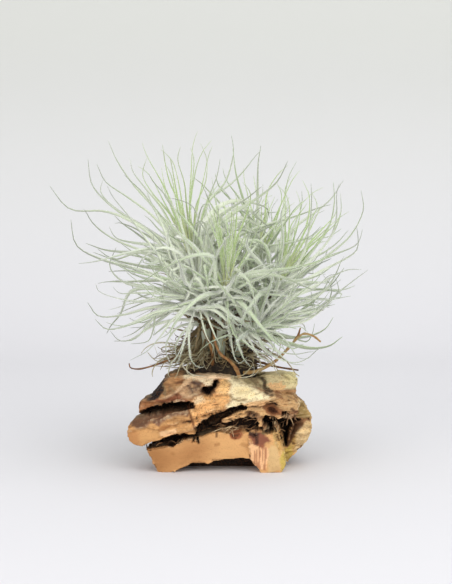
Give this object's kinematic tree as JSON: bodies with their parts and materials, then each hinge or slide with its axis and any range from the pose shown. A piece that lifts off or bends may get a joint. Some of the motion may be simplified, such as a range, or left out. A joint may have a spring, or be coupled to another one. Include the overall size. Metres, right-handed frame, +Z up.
{
  "type": "tectorum air plant",
  "caption": "Clump of silver, hair-leaved air plant rosettes grown on a chunk of split driftwood that stands on its flat underside.",
  "frame": {"origin": "on the surface the wood stands on, in the flat of its underside, under the middle of the wood", "axes": "+Z up, +X to the right and +Y to the back, as seen from the front"},
  "size_m": [0.171, 0.1587, 0.182],
  "materials": {
    "driftwood": "matte",
    "crown_bark": "matte",
    "stem": "matte",
    "silver_leaf": "matte",
    "young_leaf": "matte",
    "dry_leaf": "matte",
    "dry_stalk": "matte"
  },
  "bodies": {
    "root": {"driftwood": "driftwood", "dry_leaves_back_left": "dry_leaf", "dry_leaves_back_right": "dry_leaf", "dry_leaves_front_left": "dry_leaf", "dry_leaves_front_right": "dry_leaf", "dry_stalk_front_left": "dry_stalk", "dry_stalk_front_right": "dry_stalk", "dry_stalk_left": "dry_stalk", "dry_stalk_lying": "dry_stalk", "front_heart_leaves": "young_leaf", "front_middle_leaves_a": "silver_leaf", "front_middle_leaves_b": "silver_leaf", "front_outer_leaves_a": "silver_leaf", "front_outer_leaves_b": "silver_leaf", "front_outer_leaves_c": "silver_leaf", "front_stem": "stem", "lower_left_heart_leaves": "young_leaf", "lower_left_middle_leaves_a": "silver_leaf", "lower_left_middle_leaves_b": "silver_leaf", "lower_left_outer_leaves_a": "silver_leaf", "lower_left_outer_leaves_b": "silver_leaf", "lower_left_outer_leaves_c": "silver_leaf", "lower_left_stem": "stem", "lower_right_heart_leaves": "young_leaf", "lower_right_middle_leaves_a": "silver_leaf", "lower_right_middle_leaves_b": "silver_leaf", "lower_right_outer_leaves_a": "silver_leaf", "lower_right_outer_leaves_b": "silver_leaf", "lower_right_outer_leaves_c": "silver_leaf", "lower_right_stem": "stem", "old_bloom_stalk": "dry_stalk", "rear_heart_leaves": "young_leaf", "rear_middle_leaves_a": "silver_leaf", "rear_middle_leaves_b": "silver_leaf", "rear_outer_leaves_a": "silver_leaf", "rear_outer_leaves_b": "silver_leaf", "rear_outer_leaves_c": "silver_leaf", "rear_stem": "stem", "right_heart_leaves": "young_leaf", "right_middle_leaves_a": "silver_leaf", "right_middle_leaves_b": "silver_leaf", "right_outer_leaves_a": "silver_leaf", "right_outer_leaves_b": "silver_leaf", "right_outer_leaves_c": "silver_leaf", "right_stem": "stem", "root_crown": "crown_bark", "top_back_heart_leaves": "young_leaf", "top_back_middle_leaves_a": "silver_leaf", "top_back_middle_leaves_b": "silver_leaf", "top_back_outer_leaves_a": "silver_leaf", "top_back_outer_leaves_b": "silver_leaf", "top_back_outer_leaves_c": "silver_leaf", "top_back_stem": "stem", "upper_left_heart_leaves": "young_leaf", "upper_left_middle_leaves_a": "silver_leaf", "upper_left_middle_leaves_b": "silver_leaf", "upper_left_outer_leaves_a": "silver_leaf", "upper_left_outer_leaves_b": "silver_leaf", "upper_left_outer_leaves_c": "silver_leaf", "upper_left_stem": "stem"}
  },
  "joints": []
}
